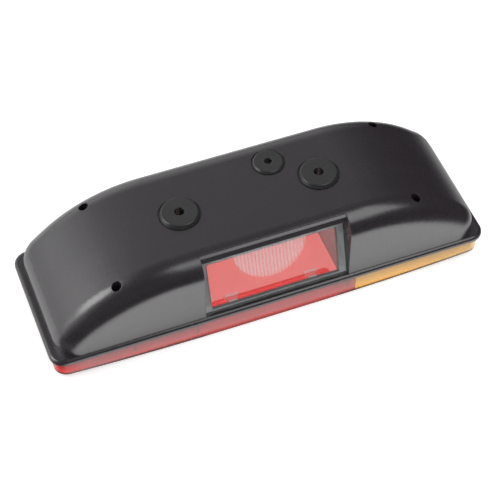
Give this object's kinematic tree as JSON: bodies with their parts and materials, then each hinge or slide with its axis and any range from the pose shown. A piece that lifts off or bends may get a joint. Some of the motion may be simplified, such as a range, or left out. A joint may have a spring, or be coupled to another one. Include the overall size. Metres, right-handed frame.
{
  "type": "rear combination lamp",
  "caption": "Oblong rear lamp cluster for a truck or trailer: black housing with rubber mounting pads, number-plate window, and red and amber lens.",
  "frame": {"origin": "middle of the lens face, at the lowest level of the lamp as it lies on its lens", "axes": "+X along the lamp to the amber indicator end, -Y to the number-plate window, +Z to the vehicle"},
  "size_m": [0.4806, 0.1552, 0.1193],
  "materials": {
    "housing_plastic": "satin black moulded ABS",
    "red_lens": "clear red acrylic, moulded",
    "red_reflector": "red acrylic reflector",
    "amber_lens": "clear amber acrylic, moulded",
    "clear_lens": "clear acrylic",
    "clear_pane": "clear acrylic pane",
    "black_rubber": "moulded rubber",
    "grey_foam": "grey closed-cell foam strip",
    "pad_rubber": "moulded rubber",
    "grey_plastic": "light grey moulded plastic",
    "steel": "zinc-plated steel",
    "plated_steel": "plated sheet",
    "brass": "sheet brass",
    "terminal_plastic": "black moulded plastic",
    "insulator": "brown laminate",
    "bulb_glass": "clear glass",
    "amber_bulb": "amber glass"
  },
  "bodies": {
    "root": {"bulb_cap_fog": "brass", "bulb_cap_indicator": "brass", "bulb_cap_reversing": "brass", "bulb_cap_stop_tail": "brass", "bulb_carrier": "grey_plastic", "bulb_glass_fog": "bulb_glass", "bulb_glass_indicator": "amber_bulb", "bulb_glass_reversing": "bulb_glass", "bulb_glass_stop_tail": "bulb_glass", "cable_grommet": "pad_rubber", "carrier_screws": "steel", "centre_contact_fog": "brass", "centre_contact_indicator": "brass", "centre_contact_reversing": "brass", "centre_contact_stop_tail": "brass", "earth_strip": "brass", "housing": "housing_plastic", "lens_amber": "amber_lens", "lens_gasket": "black_rubber", "lens_red": "red_lens", "lens_reversing": "clear_lens", "lens_screws": "steel", "mounting_pad_left": "pad_rubber", "mounting_pad_right": "pad_rubber", "number_plate_window": "clear_pane", "reflex_reflector": "red_reflector", "socket_fog": "plated_steel", "socket_indicator": "plated_steel", "socket_insulator_fog": "insulator", "socket_insulator_indicator": "insulator", "socket_insulator_reversing": "insulator", "socket_insulator_stop_tail": "insulator", "socket_reversing": "plated_steel", "socket_stop_tail": "plated_steel", "terminal_block": "terminal_plastic", "terminal_screws": "steel", "window_seal": "grey_foam"}
  },
  "joints": []
}
